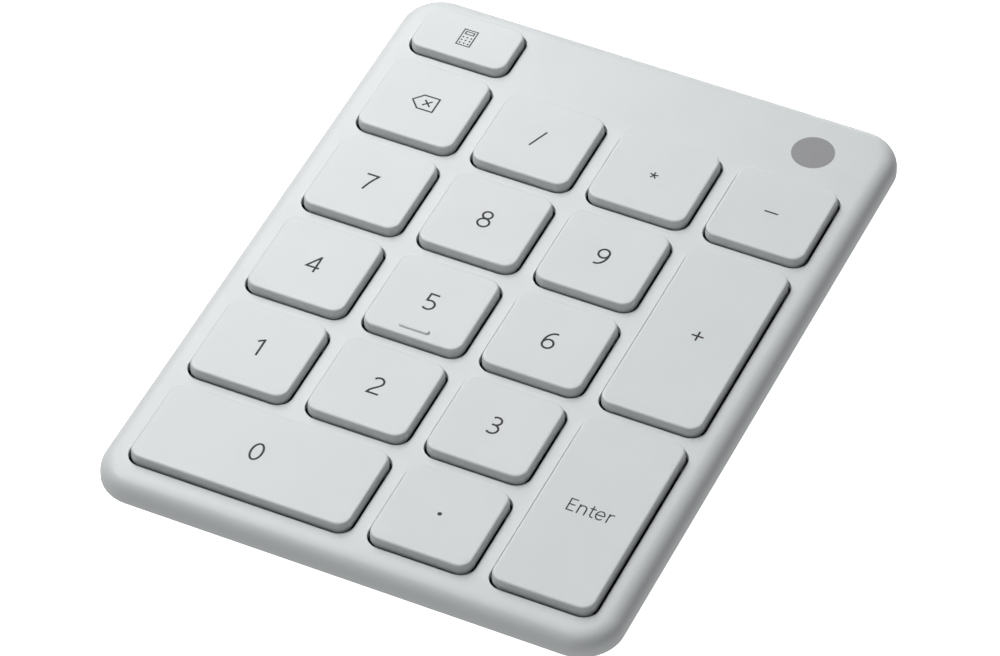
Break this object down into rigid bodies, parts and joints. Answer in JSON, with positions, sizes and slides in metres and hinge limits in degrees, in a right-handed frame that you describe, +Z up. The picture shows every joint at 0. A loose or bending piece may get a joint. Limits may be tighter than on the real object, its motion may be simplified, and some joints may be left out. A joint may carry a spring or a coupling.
{
  "type": "numeric keypad",
  "caption": "Slim free-standing wireless numeric keypad: low pale case with rounded corners and sprung scissor keys for digits, arithmetic and enter.",
  "frame": {"origin": "centre of the case's footprint, on the surface that the rubber feet stand on", "axes": "+Z up through the keytops, +Y towards the rear edge with the calculator key, +X to the right as a seated user sees it"},
  "size_m": [0.0816, 0.1108, 0.0103],
  "materials": {
    "case_plastic": "fine satin grain, pale cool grey",
    "key_plastic": "fine satin grain, pale cool grey",
    "legend_ink": "thin printed ink, dark grey",
    "emblem_ink": "thin printed ink, mid grey",
    "foot_rubber": "matte",
    "dome_rubber": "matte translucent silicone",
    "scissor_plastic": "slippery moulded acetal",
    "plate_steel": "rolled sheet",
    "wire_steel": "bright drawn wire",
    "film": "clear polyester film",
    "board_green": "solder mask",
    "chip_black": "moulded epoxy",
    "shield_tin": "tinned sheet",
    "connector_nylon": "moulded nylon",
    "button_plastic": "satin",
    "clear_plastic": "polished",
    "cell_steel": "nickel-plated",
    "contact_brass": "plated spring strip",
    "screw_steel": "dark zinc"
  },
  "bodies": {
    "root": {"top_case": "case_plastic", "bottom_case": "case_plastic", "key_plate": "plate_steel", "membrane_upper": "film", "membrane_spacer": "film", "membrane_lower": "film", "rubber_domes": "dome_rubber", "circuit_board": "board_green", "board_components": "chip_black", "radio_module": "shield_tin", "membrane_connector": "connector_nylon", "status_led": "clear_plastic", "light_guide": "clear_plastic", "coin_cell": "cell_steel", "battery_contact_positive": "contact_brass", "battery_contact_negative": "contact_brass", "rubber_feet": "foot_rubber", "case_screws": "screw_steel", "plate_screws": "screw_steel", "scissor_calculator": "scissor_plastic", "scissor_backspace": "scissor_plastic", "scissor_divide": "scissor_plastic", "scissor_multiply": "scissor_plastic", "scissor_minus": "scissor_plastic", "scissor_7": "scissor_plastic", "scissor_8": "scissor_plastic", "scissor_9": "scissor_plastic", "scissor_plus": "scissor_plastic", "scissor_4": "scissor_plastic", "scissor_5": "scissor_plastic", "scissor_6": "scissor_plastic", "scissor_1": "scissor_plastic", "scissor_2": "scissor_plastic", "scissor_3": "scissor_plastic", "scissor_enter": "scissor_plastic", "scissor_0": "scissor_plastic", "scissor_point": "scissor_plastic"},
    "key_calculator": {"keycap_calculator": "key_plastic"},
    "key_backspace": {"keycap_backspace": "key_plastic"},
    "key_divide": {"keycap_divide": "key_plastic"},
    "key_multiply": {"keycap_multiply": "key_plastic"},
    "key_minus": {"keycap_minus": "key_plastic"},
    "key_7": {"keycap_7": "key_plastic"},
    "key_8": {"keycap_8": "key_plastic"},
    "key_9": {"keycap_9": "key_plastic"},
    "key_plus": {"keycap_plus": "key_plastic"},
    "key_4": {"keycap_4": "key_plastic"},
    "key_5": {"keycap_5": "key_plastic"},
    "key_6": {"keycap_6": "key_plastic"},
    "key_1": {"keycap_1": "key_plastic"},
    "key_2": {"keycap_2": "key_plastic"},
    "key_3": {"keycap_3": "key_plastic"},
    "key_enter": {"keycap_enter": "key_plastic"},
    "key_0": {"keycap_0": "key_plastic"},
    "key_point": {"keycap_point": "key_plastic"},
    "stabiliser_plus": {"stabiliser_plus": "wire_steel"},
    "stabiliser_enter": {"stabiliser_enter": "wire_steel"},
    "stabiliser_0": {"stabiliser_0": "wire_steel"},
    "battery_door": {"battery_door": "case_plastic"},
    "pairing_button": {"pairing_button": "button_plastic"}
  },
  "joints": [
    {"name": "key_calculator_press", "type": "slide", "parent": "root", "child": "key_calculator", "axis": [0, 0, -1], "range_m": [0, 0.0012], "stiffness_N_per_m": 450, "deforming": ["scissor_calculator", "rubber_domes"]},
    {"name": "key_backspace_press", "type": "slide", "parent": "root", "child": "key_backspace", "axis": [0, 0, -1], "range_m": [0, 0.0012], "stiffness_N_per_m": 450, "deforming": ["scissor_backspace", "rubber_domes"]},
    {"name": "key_divide_press", "type": "slide", "parent": "root", "child": "key_divide", "axis": [0, 0, -1], "range_m": [0, 0.0012], "stiffness_N_per_m": 450, "deforming": ["scissor_divide", "rubber_domes"]},
    {"name": "key_multiply_press", "type": "slide", "parent": "root", "child": "key_multiply", "axis": [0, 0, -1], "range_m": [0, 0.0012], "stiffness_N_per_m": 450, "deforming": ["scissor_multiply", "rubber_domes"]},
    {"name": "key_minus_press", "type": "slide", "parent": "root", "child": "key_minus", "axis": [0, 0, -1], "range_m": [0, 0.0012], "stiffness_N_per_m": 450, "deforming": ["scissor_minus", "rubber_domes"]},
    {"name": "key_7_press", "type": "slide", "parent": "root", "child": "key_7", "axis": [0, 0, -1], "range_m": [0, 0.0012], "stiffness_N_per_m": 450, "deforming": ["scissor_7", "rubber_domes"]},
    {"name": "key_8_press", "type": "slide", "parent": "root", "child": "key_8", "axis": [0, 0, -1], "range_m": [0, 0.0012], "stiffness_N_per_m": 450, "deforming": ["scissor_8", "rubber_domes"]},
    {"name": "key_9_press", "type": "slide", "parent": "root", "child": "key_9", "axis": [0, 0, -1], "range_m": [0, 0.0012], "stiffness_N_per_m": 450, "deforming": ["scissor_9", "rubber_domes"]},
    {"name": "key_plus_press", "type": "slide", "parent": "root", "child": "key_plus", "axis": [0, 0, -1], "range_m": [0, 0.0012], "stiffness_N_per_m": 450, "deforming": ["scissor_plus", "rubber_domes"]},
    {"name": "key_4_press", "type": "slide", "parent": "root", "child": "key_4", "axis": [0, 0, -1], "range_m": [0, 0.0012], "stiffness_N_per_m": 450, "deforming": ["scissor_4", "rubber_domes"]},
    {"name": "key_5_press", "type": "slide", "parent": "root", "child": "key_5", "axis": [0, 0, -1], "range_m": [0, 0.0012], "stiffness_N_per_m": 450, "deforming": ["scissor_5", "rubber_domes"]},
    {"name": "key_6_press", "type": "slide", "parent": "root", "child": "key_6", "axis": [0, 0, -1], "range_m": [0, 0.0012], "stiffness_N_per_m": 450, "deforming": ["scissor_6", "rubber_domes"]},
    {"name": "key_1_press", "type": "slide", "parent": "root", "child": "key_1", "axis": [0, 0, -1], "range_m": [0, 0.0012], "stiffness_N_per_m": 450, "deforming": ["scissor_1", "rubber_domes"]},
    {"name": "key_2_press", "type": "slide", "parent": "root", "child": "key_2", "axis": [0, 0, -1], "range_m": [0, 0.0012], "stiffness_N_per_m": 450, "deforming": ["scissor_2", "rubber_domes"]},
    {"name": "key_3_press", "type": "slide", "parent": "root", "child": "key_3", "axis": [0, 0, -1], "range_m": [0, 0.0012], "stiffness_N_per_m": 450, "deforming": ["scissor_3", "rubber_domes"]},
    {"name": "key_enter_press", "type": "slide", "parent": "root", "child": "key_enter", "axis": [0, 0, -1], "range_m": [0, 0.0012], "stiffness_N_per_m": 450, "deforming": ["scissor_enter", "rubber_domes"]},
    {"name": "key_0_press", "type": "slide", "parent": "root", "child": "key_0", "axis": [0, 0, -1], "range_m": [0, 0.0012], "stiffness_N_per_m": 450, "deforming": ["scissor_0", "rubber_domes"]},
    {"name": "key_point_press", "type": "slide", "parent": "root", "child": "key_point", "axis": [0, 0, -1], "range_m": [0, 0.0012], "stiffness_N_per_m": 450, "deforming": ["scissor_point", "rubber_domes"]},
    {"name": "stabiliser_plus_tilt", "type": "hinge", "parent": "root", "child": "stabiliser_plus", "pos_m": [0.034, 0.00365, 0.00645], "axis": [0, -1, 0], "range_deg": [0, 6.2]},
    {"name": "stabiliser_enter_tilt", "type": "hinge", "parent": "root", "child": "stabiliser_enter", "pos_m": [0.034, -0.03335, 0.00645], "axis": [0, -1, 0], "range_deg": [0, 6.2]},
    {"name": "stabiliser_0_tilt", "type": "hinge", "parent": "root", "child": "stabiliser_0", "pos_m": [-0.019, -0.0481, 0.00645], "axis": [-1, 0, 0], "range_deg": [0, 6.2]},
    {"name": "battery_door_turn", "type": "hinge", "parent": "root", "child": "battery_door", "pos_m": [-0.015, 0.031, 0.0006], "axis": [0, 0, -1], "range_deg": [0, 50]},
    {"name": "pairing_button_press", "type": "slide", "parent": "root", "child": "pairing_button", "axis": [0, 0, 1], "range_m": [0, 0.0003], "stiffness_N_per_m": 1500}
  ],
  "couplings": [
    {"joint": "stabiliser_plus_tilt", "follows": "key_plus_press", "rad_per_m": 87.1},
    {"joint": "stabiliser_enter_tilt", "follows": "key_enter_press", "rad_per_m": 87.1},
    {"joint": "stabiliser_0_tilt", "follows": "key_0_press", "rad_per_m": 87.1}
  ]
}
